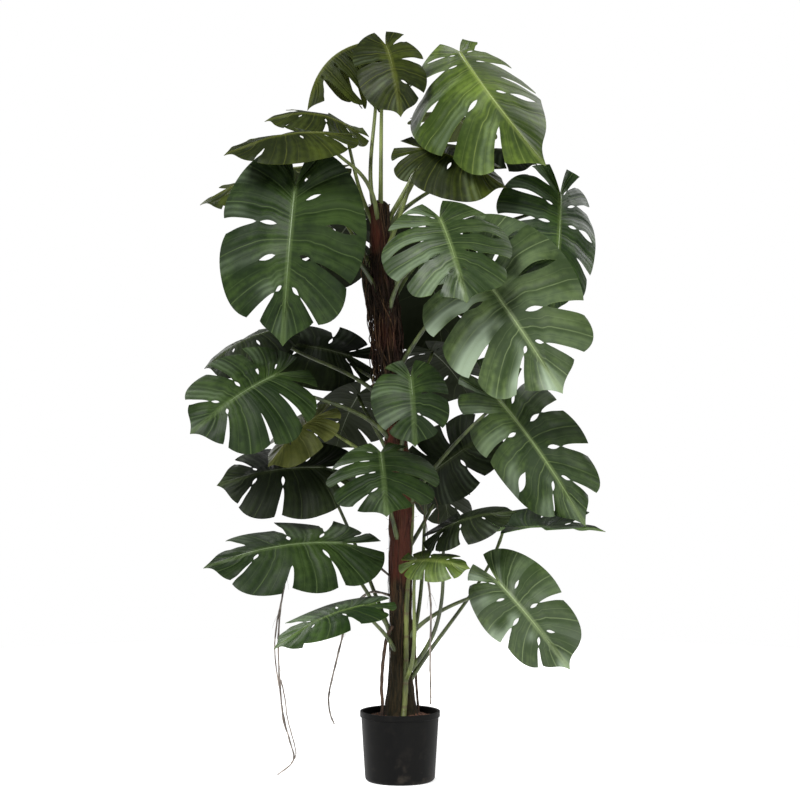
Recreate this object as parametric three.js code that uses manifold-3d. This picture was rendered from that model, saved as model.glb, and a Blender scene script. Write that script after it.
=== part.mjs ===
// A potted split-leaf philodendron, 1.8 m tall: a plastic nursery pot of potting mix, a fibre-clad
// trunk that leans a little as it climbs, hanging aerial roots, and split leaves on long stalks.
// Millimetres, +Z up. The origin is the middle of the pot's foot, and -Y is the front.
import * as THREE from "three";
import { mergeVertices } from "three/addons/utils/BufferGeometryUtils.js";
import Module from "manifold-3d";

const wasm = await Module();
wasm.setup();

// Driving dimensions
const FIT = 0.35; // the clearance where one piece stands in another
const POT = { rim: 96, foot: 84, height: 167, wall: 2.6, lip: 3, band: 14, corner: 9, edge: 1, sides: 22 };
const SOIL = { depth: 17, heap: 7, floor: 12, clear: 0.8 };
const TRUNK = {
  foot: 26,
  top: 23,
  flare: 12,
  flareHeight: 50,
  buried: 110,
  height: 1385,
  lean: -50,
  leanFrom: 640,
  sway: 6,
  swayLength: 260,
  stems: { count: 3, depth: 0.09, twist: 190 }, // the grown-together stems, turning as they climb
  scars: { depth: 0.05, rise: 24 }, // swellings at old leaf scars, wound round the trunk
  knots: { depth: 0.03, rise: 11 },
  sides: 12,
  rings: 20,
};
const BLADE = 1.2; // thickness of a leaf blade
// A stalk: its two radii, how deep its root is sunk, as a share of the trunk, and its bow. It starts
// outwards and up, ends from under the blade, and its handles are shares of its own length.
const STALK = {
  root: 5.4,
  neck: 3.4,
  sunk: 0.35,
  reach: 0.06,
  out: 0.2,
  up: 0.344,
  under: 0.2,
  behind: 0.06,
  sag: 0.12,
  sides: 5,
  steps: 6,
};
const ROOT = { start: 2.6, end: 1.6, sides: 4, steps: 16 };
const HEART = { sinus: 160, spread: 1.25, round: 0.56, long: 0.3, point: 0.12, narrow: 0.09, widest: 0.63 };
const SHOULDER = { reach: 0.1, turn: 0.45, spread: 0.35 }; // the blade stays broad towards its tip
const VEIN = { last: 0.82, spread: 1.5, bow: 0.32 }; // where the veins leave the midrib, and their bow
const HOLE_END = 0.87; // a closed split ends here, as a share of the vein
const FRONT_HOOK = 0.6; // how much less a finger's front corner is trimmed than its rear one
const CORNER = 3; // how close to its corners a finger's end is trimmed
const TWIST = 0.8; // how far a loose finger turns about its own vein, as a share of its flutter

const vec = (p) => new THREE.Vector3(...p);
const mix = THREE.MathUtils.lerp;
const rad = THREE.MathUtils.degToRad;
const clamp01 = (x) => THREE.MathUtils.clamp(x, 0, 1);

// A draw between 0 and 1 that is the same every time for the same two numbers.
function draw(seed, k) {
  const x = Math.sin(seed * 127.1 + k * 311.7) * 43758.5453;
  return x - Math.floor(x);
}

// A closed geometry as a solid that can be cut and joined.
function solidOf(geometry) {
  const bare = geometry.clone();
  bare.deleteAttribute("normal");
  bare.deleteAttribute("uv");
  const merged = mergeVertices(bare, 1e-3);
  const corners = merged.index.array;
  const kept = [];
  for (let i = 0; i < corners.length; i += 3) {
    const [a, b, c] = [corners[i], corners[i + 1], corners[i + 2]];
    if (a !== b && b !== c && c !== a) kept.push(a, b, c);
  }
  return new wasm.Manifold(
    new wasm.Mesh({
      numProp: 3,
      vertProperties: merged.attributes.position.array,
      triVerts: new Uint32Array(kept),
    }),
  );
}

// A solid back as a geometry.
function geometryOf(solid) {
  const mesh = solid.getMesh();
  const places = new Float32Array(mesh.numVert * 3);
  for (let i = 0; i < mesh.numVert; i++) {
    places.set(mesh.vertProperties.subarray(i * mesh.numProp, i * mesh.numProp + 3), i * 3);
  }
  const geometry = new THREE.BufferGeometry();
  geometry.setAttribute("position", new THREE.BufferAttribute(places, 3));
  geometry.setIndex(new THREE.BufferAttribute(mesh.triVerts, 1));
  return geometry;
}

function closedSolid(points, faces) {
  const geometry = new THREE.BufferGeometry().setFromPoints(points);
  geometry.setIndex(faces);
  return solidOf(geometry);
}

// A closed skin through rings of points, all with the same count, with a fan over each end.
function ringSolid(rings) {
  const sides = rings[0].length;
  const middle = (ring) => ring.reduce((sum, p) => sum.add(p), new THREE.Vector3()).divideScalar(sides);
  const points = [...rings.flat(), middle(rings[0]), middle(rings[rings.length - 1])];
  const [first, last] = [points.length - 2, points.length - 1];
  const top = (rings.length - 1) * sides;
  const faces = [];
  for (let j = 0; j < sides; j++) {
    const next = (j + 1) % sides;
    for (let i = 0; i + 1 < rings.length; i++) {
      const [a, b] = [i * sides + j, i * sides + next];
      faces.push(a, b, b + sides, a, b + sides, a + sides);
    }
    faces.push(first, next, j, last, top + j, top + next);
  }
  return closedSolid(points, faces);
}

// A round tube along a curve, whose radius may change on the way.
function tube(curve, radius, sides, steps) {
  const frames = curve.computeFrenetFrames(steps, false);
  const rings = [];
  for (let i = 0; i <= steps; i++) {
    const t = i / steps;
    const centre = curve.getPointAt(t);
    const ring = [];
    for (let j = 0; j < sides; j++) {
      const turn = (2 * Math.PI * j) / sides;
      const point = centre.clone();
      point.addScaledVector(frames.normals[i], radius(t) * Math.cos(turn));
      point.addScaledVector(frames.binormals[i], radius(t) * Math.sin(turn));
      ring.push(point);
    }
    rings.push(ring);
  }
  return ringSolid(rings);
}

// The trunk's middle line: upright in the pot, then leaning as it climbs.
function trunkAxis(z) {
  const share = THREE.MathUtils.smoothstep(z, TRUNK.leanFrom, TRUNK.height);
  return new THREE.Vector3(TRUNK.lean * share, TRUNK.sway * Math.sin(z / TRUNK.swayLength), z);
}

// The trunk is three stems grown together and clad in fibre, so its section is a rounded trefoil
// that turns as it climbs, with a swelling at each old leaf scar and a flare at the soil.
function trunkRadius(z, turn) {
  const climb = clamp01((z - POT.height) / (TRUNK.height - POT.height));
  const { stems, scars, knots } = TRUNK;
  const lobes = 1 + stems.depth * Math.sin(stems.count * turn + z / stems.twist);
  const winding = scars.depth * Math.sin(z / scars.rise + 2 * turn);
  const bumps = knots.depth * Math.sin(z / knots.rise - turn);
  const flare = TRUNK.flare * Math.exp(-(z - POT.height) / TRUNK.flareHeight);
  return mix(TRUNK.foot, TRUNK.top, climb) * lobes * (1 + winding + bumps) + flare;
}

function trunkRing(z, radius) {
  const axis = trunkAxis(z);
  const ring = [];
  for (let j = 0; j < TRUNK.sides; j++) {
    const turn = (2 * Math.PI * j) / TRUNK.sides;
    const r = radius(z, turn);
    ring.push(new THREE.Vector3(axis.x + r * Math.cos(turn), axis.y + r * Math.sin(turn), z));
  }
  return ring;
}

const soilTop = POT.height - SOIL.depth;
const soilCrown = soilTop + SOIL.heap;
const plainFoot = () => TRUNK.foot; // the buried end is a plain round peg

function trunkSolid() {
  const rings = [trunkRing(soilTop - TRUNK.buried, plainFoot), trunkRing(soilCrown + 0.5, plainFoot)];
  const start = soilCrown + SOIL.heap;
  for (let i = 0; i < TRUNK.rings; i++) {
    rings.push(trunkRing(mix(start, TRUNK.height, i / (TRUNK.rings - 1)), trunkRadius));
  }
  rings.push(trunkRing(TRUNK.height + 8, () => TRUNK.top * 0.5));
  return ringSolid(rings);
}

// A body of revolution from its half outline, [radius, height] from the axis round to the axis.
function turned(outline) {
  const geometry = new THREE.LatheGeometry(outline.map(([x, y]) => new THREE.Vector2(x, y)), POT.sides);
  return solidOf(geometry.rotateX(Math.PI / 2));
}

// The pot: a tapered shell with a band under its lip and a rounded foot.
function potSolid() {
  const { rim, foot, height, wall, lip, band, corner, edge } = POT;
  const inner = foot - wall;
  return turned([
    [0, 0],
    [foot - corner, 0],
    [foot - corner * 0.3, corner * 0.3],
    [foot, corner],
    [rim - lip, height - band],
    [rim, height - band + edge],
    [rim, height - edge],
    [rim - edge, height],
    [rim - lip - wall, height - edge],
    [inner, corner],
    [inner - corner * 0.6, wall + edge],
    [0, wall + edge],
  ]);
}

// The potting mix: a plug that fills the pot to a little below the rim, slightly heaped.
function soilSolid() {
  const { rim, foot, height, wall, lip, corner, edge } = POT;
  const climb = (z) => (z - corner) / (height - edge - corner);
  const outer = (z) => mix(foot - wall, rim - lip - wall, climb(z)) - SOIL.clear;
  return turned([
    [0, SOIL.floor],
    [outer(SOIL.floor), SOIL.floor],
    [outer(soilTop), soilTop],
    [outer(soilTop) * 0.75, soilTop + SOIL.heap * 0.6],
    [outer(soilTop) * 0.5, soilCrown],
    [0, soilCrown],
  ]);
}

// Leaf blades. A blade is drawn flat for a midrib of length 1, from the stalk's joint at (0, 0) to the
// tip at (0, 1). u runs round its edge from the notch to the tip, and v along a vein from midrib to edge.
function edgePoint(u, width) {
  const turn = rad(HEART.sinus) * Math.pow(1 - u, HEART.spread);
  const shoulder = SHOULDER.reach * Math.exp(-(((turn - SHOULDER.turn) / SHOULDER.spread) ** 2));
  const point = HEART.point * Math.exp(-turn / HEART.narrow);
  const reach = HEART.round + HEART.long * Math.cos(turn) + point + shoulder;
  return [(width / HEART.widest) * reach * Math.sin(turn), reach * Math.cos(turn)];
}

function veinPoint(u, v, width) {
  const [x, y] = edgePoint(u, width);
  const start = VEIN.last * Math.pow(u, VEIN.spread);
  const length = Math.hypot(x, y - start);
  return [x * v, mix(start, y, v) - VEIN.bow * length * v * (1 - v)];
}

// The border behind finger k: how far out its split begins, and whether it is open, a hole or grown shut.
function borderOf(leaf, side, k) {
  const seed = leaf.seed + side * 0.5;
  const inside = k > 0 && k < leaf.lobes;
  const drawn = draw(seed, k + 20) < leaf.open ? "o" : "s";
  const cut = leaf.cuts ? leaf.cuts[side > 0 ? 1 : 0][k - 1] : drawn;
  return {
    from: inside ? mix(leaf.split[0], leaf.split[1], draw(seed, k)) : leaf.split[0],
    gap: leaf.gap * mix(0.5, 1.5, draw(seed, k + 60)),
    open: inside && cut === "o",
    hole: inside && cut === "h",
  };
}

// Half the width of a border's split where the vein has come to v, as a share of the edge's run.
function gapAt(border, v) {
  const end = border.hole ? HOLE_END : 1;
  const run = clamp01((v - border.from) / (end - border.from));
  if (border.hole) return border.gap * Math.sin(Math.PI * run);
  return border.open ? border.gap * Math.sqrt(run) : 0;
}

// How free a finger's edge is at v, from 0 where it is grown to its neighbour.
function looseAt(border, v) {
  return border.open ? clamp01((v - border.from) / (1 - border.from)) : 0;
}

// A place on the formed blade: f runs across finger k, and v from the midrib out.
function fingerPoint(leaf, side, k, f, v, rear, front) {
  const looseRear = looseAt(rear, v);
  const looseFront = looseAt(front, v);
  const from = k / leaf.lobes + gapAt(rear, v);
  const to = (k + 1) / leaf.lobes - gapAt(front, v);
  const rearTrim = leaf.hook * (1 - f) ** CORNER * looseRear ** 2;
  const frontTrim = leaf.hook * FRONT_HOOK * f ** CORNER * looseFront ** 2;
  const [x, y] = veinPoint(mix(from, to, f), v * (1 - rearTrim - frontTrim), leaf.width);
  const loose = mix(looseRear, looseFront, f);
  const twist = TWIST * (f - 0.5);
  const lift = leaf.flutter * (draw(leaf.seed + side * 0.5, k + 40) - 0.5 + twist) * loose;
  const pleat = leaf.pleat * Math.sin(Math.PI * f) * Math.sin(Math.PI * v);
  return bladePlace(leaf, side * x, y, lift - pleat);
}

// A flat place in the plant's own frame: arched along the midrib, and folded and curled across it.
function bladePlace(leaf, x, y, lift) {
  const fold = x < 0 ? leaf.fold[0] : leaf.fold[1];
  const across = Math.abs(x);
  const bend = leaf.curl / leaf.width;
  const angle = fold + bend * across;
  const out = (Math.sin(angle) - Math.sin(fold)) / bend;
  const drop = (Math.cos(fold) - Math.cos(angle)) / bend;
  const run = Math.max(y, 0);
  const rise = 4 * leaf.arch * y * (1 - run);
  const slope = 4 * leaf.arch * (1 - 2 * run);
  const up = (lift - drop) / Math.hypot(1, slope);
  return leaf.base
    .clone()
    .addScaledVector(leaf.right, Math.sign(x) * out * leaf.length)
    .addScaledVector(leaf.along, (y - slope * up) * leaf.length)
    .addScaledVector(leaf.normal, (rise + up) * leaf.length);
}

// One finger as a grid of places: rows from the midrib out, and columns across.
function fingerGrid(leaf, side, k) {
  const rear = borderOf(leaf, side, k);
  const front = borderOf(leaf, side, k + 1);
  const columns = [0, 0.5, 1];
  const start = (f) => mix(rear.from, front.from, f);
  const outer = leaf.cuts ? [(f) => (start(f) + HOLE_END) / 2, () => HOLE_END] : [(f) => (start(f) + 1) / 2];
  const rows = [() => 0, start, ...outer, () => 1];
  return rows.map((row) => columns.map((f) => fingerPoint(leaf, side, k, f, row(f), rear, front)));
}

// The blade as a closed solid of even thickness, with both faces split into triangles alike.
function bladeSolid(leaf) {
  const points = [];
  const index = new Map();
  const faces = [];
  const pointIndex = (p) => {
    const key = [p.x, p.y, p.z].map((c) => Math.round(c * 50)).join();
    if (!index.has(key)) {
      index.set(key, points.length);
      points.push(p);
    }
    return index.get(key);
  };
  const addFace = (a, b, c, side) => {
    if (a === b || b === c || c === a) return;
    faces.push(side > 0 ? [a, b, c] : [a, c, b]);
  };
  for (const side of [1, -1]) {
    for (let k = 0; k < leaf.lobes; k++) {
      const grid = fingerGrid(leaf, side, k).map((row) => row.map(pointIndex));
      for (let i = 0; i + 1 < grid.length; i++) {
        for (let j = 0; j + 1 < grid[i].length; j++) {
          addFace(grid[i][j], grid[i + 1][j], grid[i + 1][j + 1], side);
          addFace(grid[i][j], grid[i + 1][j + 1], grid[i][j + 1], side);
        }
      }
    }
  }
  return thickened(points, faces, BLADE / 2);
}

// A thin closed solid from an open sheet of triangles: both faces and a wall round every free edge.
function thickened(points, faces, half) {
  const normals = points.map(() => new THREE.Vector3());
  const edges = new Map();
  for (const [a, b, c] of faces) {
    const side = points[b].clone().sub(points[a]);
    const normal = side.cross(points[c].clone().sub(points[a]));
    for (const corner of [a, b, c]) normals[corner].add(normal);
    for (const [p, q] of [[a, b], [b, c], [c, a]]) edges.set(p + "," + q, [p, q]);
  }
  const count = points.length;
  const upper = points.map((p, i) => p.clone().addScaledVector(normals[i].normalize(), half));
  const lower = points.map((p, i) => p.clone().addScaledVector(normals[i], -half));
  const corners = [];
  for (const [a, b, c] of faces) corners.push(a, b, c, count + a, count + c, count + b);
  for (const [p, q] of edges.values()) {
    if (!edges.has(q + "," + p)) corners.push(p, count + p, count + q, p, count + q, q);
  }
  return closedSolid([...upper, ...lower], corners);
}

// The stalk leaves the trunk steeply, bows outwards, and meets the blade from beneath its notch.
function stalkCurve(leaf) {
  const axis = trunkAxis(leaf.joint);
  const reach = leaf.base.clone().sub(axis);
  const outward = new THREE.Vector3(reach.x, reach.y, 0).normalize();
  const length = reach.length();
  const start = axis.clone().addScaledVector(outward, TRUNK.top * STALK.sunk);
  const first = start.clone().addScaledVector(outward, STALK.out * length).add(leaf.bend);
  first.z += STALK.up * length;
  const second = leaf.base.clone().addScaledVector(leaf.normal, -STALK.under * length);
  second.addScaledVector(leaf.along, -STALK.behind * length);
  second.z -= STALK.sag * length;
  const end = bladePlace(leaf, 0, STALK.reach, 0).addScaledVector(leaf.normal, -BLADE);
  return new THREE.CubicBezierCurve3(start, first, second, end);
}

function stalkSolid(leaf, swell) {
  const radius = (t) => mix(STALK.root, STALK.neck, t) + swell;
  return tube(stalkCurve(leaf), radius, STALK.sides, STALK.steps);
}

// The leaves, each by its midrib's two ends, the way its upper face looks, and the height on the trunk
// where its stalk starts. Angles are in degrees, and the rest are shares of the midrib's length.
// fold has the left half and the right half, seen from above with the tip away. cuts has the same two
// halves, with one letter for each border from the stalk to the tip: o for an open split, h for a hole
// and s for grown shut. A leaf without it draws them, with open as the share that is split.
const LEAF = {
  width: 0.46,
  lobes: 6,
  arch: 0.08,
  fold: [8, 8],
  curl: 26,
  flutter: 0.07,
  pleat: 0.014,
  hook: 0.11,
  gap: 0.018,
  split: [0.28, 0.5],
  open: 0.72,
  cuts: null,
  bend: [0, 0, 0],
};
const LEAVES = {
  // front and sides, from the top down
  leaf_01: { base: [-78, 30, 1776], tip: [-222, 0, 1606], face: [-0.4, -0.45, 0.8], joint: 1352,
    width: 0.8, lobes: 6, arch: 0.2, fold: [48, 60], curl: 45, gap: 0.05, split: [0.14, 0.26], open: 1 },
  leaf_02: { base: [142, -50, 1740], tip: [338, -190, 1452], face: [-0.6, -0.55, 0.6], joint: 1322,
    width: 0.57, arch: 0.22, fold: [56, 0], curl: 24, cuts: ["ooohs", "hohoo"], bend: [0, 120, 0] },
  leaf_03: { base: [-166, -180, 1530], tip: [-404, -225, 1472], face: [0, -0.45, 0.9], joint: 1290,
    width: 0.42, lobes: 4, bend: [40, 20, 90] },
  leaf_04: { base: [-200, 40, 1478], tip: [-486, 60, 1385], face: [0.1, -0.35, 1], joint: 1200, lobes: 5 },
  leaf_05: { base: [-241, -196, 1410], tip: [-268, -241, 1034], face: [0, -1, 0.25], joint: 1150,
    width: 0.49, arch: 0.1, cuts: ["sshoo", "ssoso"] },
  leaf_06: { base: [91, -215, 1332], tip: [150, -345, 1128], face: [0, -0.75, 0.65], joint: 1090,
    width: 0.66, bend: [-30, -10, 20], cuts: ["sohos", "hohoo"] },
  leaf_07: { base: [166, -175, 1238], tip: [370, -265, 926], face: [0, -1, 0.2], joint: 960,
    width: 0.54, arch: 0.05, fold: [4, 18], cuts: ["shhoo", "soooo"] },
  leaf_08: { base: [384, -10, 1408], tip: [358, -80, 1112], face: [0.2, -1, 0.3], joint: 1160,
    width: 0.54, fold: [30, 5], cuts: ["oohoo", "ohooo"] },
  leaf_09: { base: [50, -64, 1510], tip: [250, -100, 1410], face: [0.2, -0.8, 0.9], joint: 1256, lobes: 5,
    width: 0.56 },
  leaf_10: { base: [186, 110, 1530], tip: [336, 90, 1486], face: [0.1, -0.6, 1], joint: 1306, lobes: 3 },
  leaf_11: { base: [-284, -110, 975], tip: [-486, -180, 833], face: [0, -0.8, 0.6], joint: 800,
    width: 0.64, lobes: 5, open: 1 },
  leaf_12: { base: [-301, 62, 1084], tip: [-477, 76, 988], face: [0, -0.4, 0.9], joint: 880, lobes: 4,
    width: 0.62 },
  leaf_13: { base: [-196, -20, 876], tip: [-313, -60, 753], face: [-0.3, -0.6, 0.6], joint: 700, lobes: 4 },
  leaf_14: { base: [-181, 35, 750], tip: [-445, 55, 704], face: [0, -0.8, 0.7], joint: 310, width: 0.5,
    lobes: 5, bend: [30, 30, 0] },
  leaf_15: { base: [-130, -50, 572], tip: [-464, -90, 515], face: [0, -0.6, 0.8], joint: 330, width: 0.42,
    lobes: 5 },
  leaf_16: { base: [-80, -120, 432], tip: [-292, -180, 335], face: [-0.1, -0.4, 0.9], joint: 290,
    width: 0.43, lobes: 4, fold: [-12, 5] },
  leaf_17: { base: [228, -90, 488], tip: [396, -150, 284], face: [-0.1, -0.9, 0.4], joint: 322,
    width: 0.42, lobes: 5, fold: [0, 25] },
  leaf_18: { base: [225, -60, 925], tip: [436, -110, 615], face: [0.3, -1, 0.1], joint: 640,
    width: 0.4, fold: [8, 45], cuts: ["hoooo", "oooho"] },
  leaf_19: { base: [-45, -120, 790], tip: [-30, -280, 647], face: [0, -0.6, 0.8], joint: 560,
    width: 0.68, lobes: 5 },
  leaf_20: { base: [25, -120, 968], tip: [35, -165, 803], face: [0.1, -1, 0.3], joint: 760,
    width: 0.6, lobes: 4 },
  leaf_21: { base: [233, 0, 600], tip: [490, -40, 598], face: [0, -0.25, 1], joint: 212,
    lobes: 5, arch: 0.04, fold: [-10, -22], curl: 10 },
  leaf_22: { base: [33, -116, 536], tip: [164, -150, 519], face: [0, -0.6, 0.8], joint: 226, lobes: 4,
    bend: [40, -20, -40] },
  leaf_23: { base: [68, 60, 730], tip: [250, 90, 855], face: [0.2, -0.9, 0.3], joint: 264, lobes: 5 },
  leaf_24: { base: [-120, 150, 1020], tip: [-350, 190, 1050], face: [0, -0.8, 0.6], joint: 905, lobes: 4 },
  // back, from the top down
  leaf_25: { base: [98, 120, 1620], tip: [200, 330, 1570], face: [0.1, 0.2, 1], joint: 1262,
    lobes: 4, bend: [-30, 60, 0] },
  leaf_26: { base: [60, 150, 1290], tip: [110, 290, 1010], face: [0.2, 0.8, 0.6], joint: 1110, lobes: 4,
    width: 0.56 },
  leaf_27: { base: [-110, 170, 1370], tip: [-230, 310, 1190], face: [-0.2, 0.8, 0.6], joint: 1060, lobes: 4 },
  leaf_28: { base: [74, 160, 1036], tip: [181, 300, 912], face: [0.2, 0.8, 0.6], joint: 850, lobes: 4,
    width: 0.6 },
  leaf_29: { base: [-99, 150, 931], tip: [-165, 280, 781], face: [-0.2, 0.8, 0.6], joint: 725, lobes: 4,
    width: 0.6 },
  leaf_30: { base: [98, 150, 716], tip: [124, 275, 584], face: [0.2, 0.8, 0.6], joint: 530, lobes: 4,
    bend: [30, 0, 0] },
  // beside the crown, low on the right, and under the crown on the left
  leaf_31: { base: [-34, -66, 1754], tip: [2, -121, 1574], face: [0, -0.6, 0.8], joint: 1345,
    width: 0.5, lobes: 4, arch: 0.14, bend: [-16, 60, 0] },
  leaf_32: { base: [96, -80, 606], tip: [276, -95, 648], face: [0, -0.45, 0.9], joint: 245, lobes: 4,
    bend: [70, 0, 0] },
  leaf_33: { base: [-124, -14, 1568], tip: [-324, -20, 1577], face: [0, -0.5, 0.85], joint: 1325,
    width: 0.4, lobes: 4, arch: 0.14, open: 1 },
};

// Aerial roots that hang free, each by the points that it passes, from inside the trunk down.
const ROOTS = {
  root_1: [[-12, -4, 480], [-80, 30, 530], [-150, 54, 552], [-220, 54, 548], [-262, 44, 515],
    [-278, 20, 470], [-288, 0, 400], [-292, 0, 305], [-282, 0, 158], [-266, 0, 99],
    [-256, 0, 48], [-294, 0, 12]],
  root_2: [[-12, 0, 440], [-70, 5, 450], [-118, 0, 410], [-134, -5, 361], [-151, -10, 294],
    [-168, -10, 220], [-170, -10, 172], [-158, -10, 136]],
  root_3: [[14, -4, 500], [50, -26, 540], [72, -36, 440], [72, -38, 300], [73, -38, 188]],
};

function leafOf(name, order) {
  const given = { ...LEAF, ...LEAVES[name] };
  const [base, tip, face] = [vec(given.base), vec(given.tip), vec(given.face)];
  const along = tip.clone().sub(base);
  const length = along.length();
  along.normalize();
  const normal = face.clone().addScaledVector(along, -face.dot(along)).normalize();
  return {
    ...given,
    seed: order + 1,
    base,
    along,
    normal,
    right: along.clone().cross(normal),
    length,
    fold: given.fold.map(rad),
    curl: rad(given.curl),
    bend: vec(given.bend),
  };
}

function rootSolid(name, swell) {
  const curve = new THREE.CatmullRomCurve3(ROOTS[name].map(vec));
  return tube(curve, (t) => mix(ROOT.start, ROOT.end, t) + swell, ROOT.sides, ROOT.steps);
}

// Assembly
const leafMaterial = new THREE.MeshStandardMaterial({ color: 0x3f5a33, roughness: 0.45, metalness: 0 });
const barkMaterial = new THREE.MeshStandardMaterial({ color: 0x3a261c, roughness: 0.9, metalness: 0 });
const rootMaterial = new THREE.MeshStandardMaterial({ color: 0x57504a, roughness: 0.85, metalness: 0 });
const potMaterial = new THREE.MeshStandardMaterial({ color: 0x1c1d1c, roughness: 0.55, metalness: 0 });
const soilMaterial = new THREE.MeshStandardMaterial({ color: 0x2a1e16, roughness: 1, metalness: 0 });

const plant = new THREE.Group();
function addNode(name, solid, material) {
  const mesh = new THREE.Mesh(geometryOf(solid), material);
  mesh.name = name;
  plant.add(mesh);
}

let trunk = trunkSolid();
Object.keys(LEAVES).forEach((name, order) => {
  const leaf = leafOf(name, order);
  addNode(name, bladeSolid(leaf).add(stalkSolid(leaf, 0)), leafMaterial);
  trunk = trunk.subtract(stalkSolid(leaf, FIT));
});
for (const name of Object.keys(ROOTS)) {
  addNode(name, rootSolid(name, 0), rootMaterial);
  trunk = trunk.subtract(rootSolid(name, FIT));
}
const bore = ringSolid([
  trunkRing(soilTop - TRUNK.buried - FIT, () => plainFoot() + FIT),
  trunkRing(POT.height, () => plainFoot() + FIT),
]);
addNode("pot", potSolid(), potMaterial);
addNode("soil", soilSolid().subtract(bore), soilMaterial);
addNode("trunk", trunk, barkMaterial);

export default plant;
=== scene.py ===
# %% [markdown]
# # A split-leaf philodendron in a nursery pot
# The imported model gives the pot, the potting mix, the trunk, three hanging roots and 33 leaves as
# plain solids. This lesson dresses each of them: blades with their veins, perforations and waxy skin,
# stalks with their knuckles, a trunk wrapped in fibre, and a moulded pot. Everything is in metres.

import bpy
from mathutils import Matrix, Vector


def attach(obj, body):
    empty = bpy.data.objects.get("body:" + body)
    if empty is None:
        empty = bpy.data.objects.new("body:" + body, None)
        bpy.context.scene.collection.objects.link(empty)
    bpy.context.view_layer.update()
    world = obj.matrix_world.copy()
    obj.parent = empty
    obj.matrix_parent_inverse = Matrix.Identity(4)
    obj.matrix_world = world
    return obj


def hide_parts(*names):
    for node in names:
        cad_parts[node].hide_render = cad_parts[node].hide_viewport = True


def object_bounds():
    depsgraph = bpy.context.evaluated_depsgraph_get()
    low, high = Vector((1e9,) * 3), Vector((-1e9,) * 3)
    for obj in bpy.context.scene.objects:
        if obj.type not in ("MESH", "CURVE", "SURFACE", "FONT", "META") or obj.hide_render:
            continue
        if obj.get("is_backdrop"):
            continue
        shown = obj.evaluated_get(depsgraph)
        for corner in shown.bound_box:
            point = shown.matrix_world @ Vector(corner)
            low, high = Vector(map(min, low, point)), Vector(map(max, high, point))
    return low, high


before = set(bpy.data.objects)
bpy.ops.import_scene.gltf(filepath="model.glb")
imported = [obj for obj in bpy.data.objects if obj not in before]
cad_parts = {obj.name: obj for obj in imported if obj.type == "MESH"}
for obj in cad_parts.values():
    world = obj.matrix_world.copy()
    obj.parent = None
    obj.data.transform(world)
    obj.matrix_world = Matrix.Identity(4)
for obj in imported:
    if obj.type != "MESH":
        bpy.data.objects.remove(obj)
cad_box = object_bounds()
print("nodes:", len(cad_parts), "size:", [round(high - low, 3) for low, high in zip(*cad_box)])

# %% Modules and small helpers
import math
import random

import bmesh
import bpy
from mathutils import Matrix, Vector, noise

MM = 0.001
BODY = "root"  # a part with no joints has this one body


def mix(low, high, share):
    return low + (high - low) * share


def clamp01(x):
    return min(1.0, max(0.0, x))


def smooth01(x):
    x = clamp01(x)
    return x * x * (3 - 2 * x)


def stepped(steps, place):
    """place(share) for shares from 0 to 1 in even steps."""
    return [place(i / steps) for i in range(steps + 1)]


def draw(seed, k):
    """A draw between 0 and 1 that is the same every time for the same two numbers."""
    x = math.sin(seed * 127.1 + k * 311.7) * 43758.5453
    return x - math.floor(x)


# %% [markdown]
# ## The camera and the studio
# The photograph looks straight ahead from about half the plant's height, and the pot's rim shows as a
# flat ellipse, so the camera is level, far away and long. One very large soft light stands behind the
# camera at the left, above the crown, and a weaker one fills from the right. Two more stand behind, so
# that the plant also reads from the back. The backdrop looks white but gives little light, as a white
# wall far behind the plant would, so the inside of the foliage stays as dark as in the photograph.

# %% Camera
CAMERA_DISTANCE = 5.0
CAMERA_HEIGHT = 0.912
LENS = 93.75
SENSOR = 36.0

scene = bpy.context.scene
camera = bpy.data.objects.new("camera", bpy.data.cameras.new("camera"))
camera.data.lens = LENS
camera.data.sensor_width = SENSOR
camera.location = (0, -CAMERA_DISTANCE, CAMERA_HEIGHT)
camera.rotation_euler = (math.radians(90), 0, 0)
scene.collection.objects.link(camera)
scene.camera = camera
scene.view_settings.view_transform = "Standard"
print("camera at", tuple(camera.location), "lens", LENS)

# %% Soft lights
LIGHTS = {
    "key": dict(place=(-2.6, -5.0, 5.2), size=2.6, power=660),
    "fill": dict(place=(4.2, -4.4, 2.6), size=3.2, power=130),
    "rear_left": dict(place=(-2.6, 3.0, 2.6), size=2.4, power=70),
    "rear_right": dict(place=(2.6, 2.6, 3.0), size=2.4, power=70),
}
AIM = Vector((0, 0, 0.95))

for name, light in LIGHTS.items():
    lamp = bpy.data.lights.new(name, "AREA")
    lamp.size = light["size"]
    lamp.energy = light["power"]
    holder = bpy.data.objects.new(name, lamp)
    holder.location = light["place"]
    holder.rotation_euler = (AIM - holder.location).to_track_quat("-Z", "Y").to_euler()
    scene.collection.objects.link(holder)

BACKDROP = 1.0  # what the camera sees behind the plant
AMBIENT = 0.24  # what the backdrop adds to the light

world = bpy.data.worlds.new("studio")
world.use_nodes = True
backdrop = world.node_tree.nodes["Background"]
backdrop.inputs["Color"].default_value = (1.0, 1.0, 1.0, 1)
ray = world.node_tree.nodes.new("ShaderNodeLightPath")
seen = world.node_tree.nodes.new("ShaderNodeMapRange")
seen.inputs["To Min"].default_value = AMBIENT
seen.inputs["To Max"].default_value = BACKDROP
world.node_tree.links.new(ray.outputs["Is Camera Ray"], seen.inputs["Value"])
world.node_tree.links.new(seen.outputs[0], backdrop.inputs["Strength"])
scene.world = world
print("lights:", len(LIGHTS))

# %% [markdown]
# ## Shader maths as expressions
# A finish is easiest to read as a formula, so one small class wraps a socket and turns +, -, * and / into
# Math nodes. A second one holds a material, with one method that makes any other node.

# %% A socket that can be reckoned with


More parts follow.
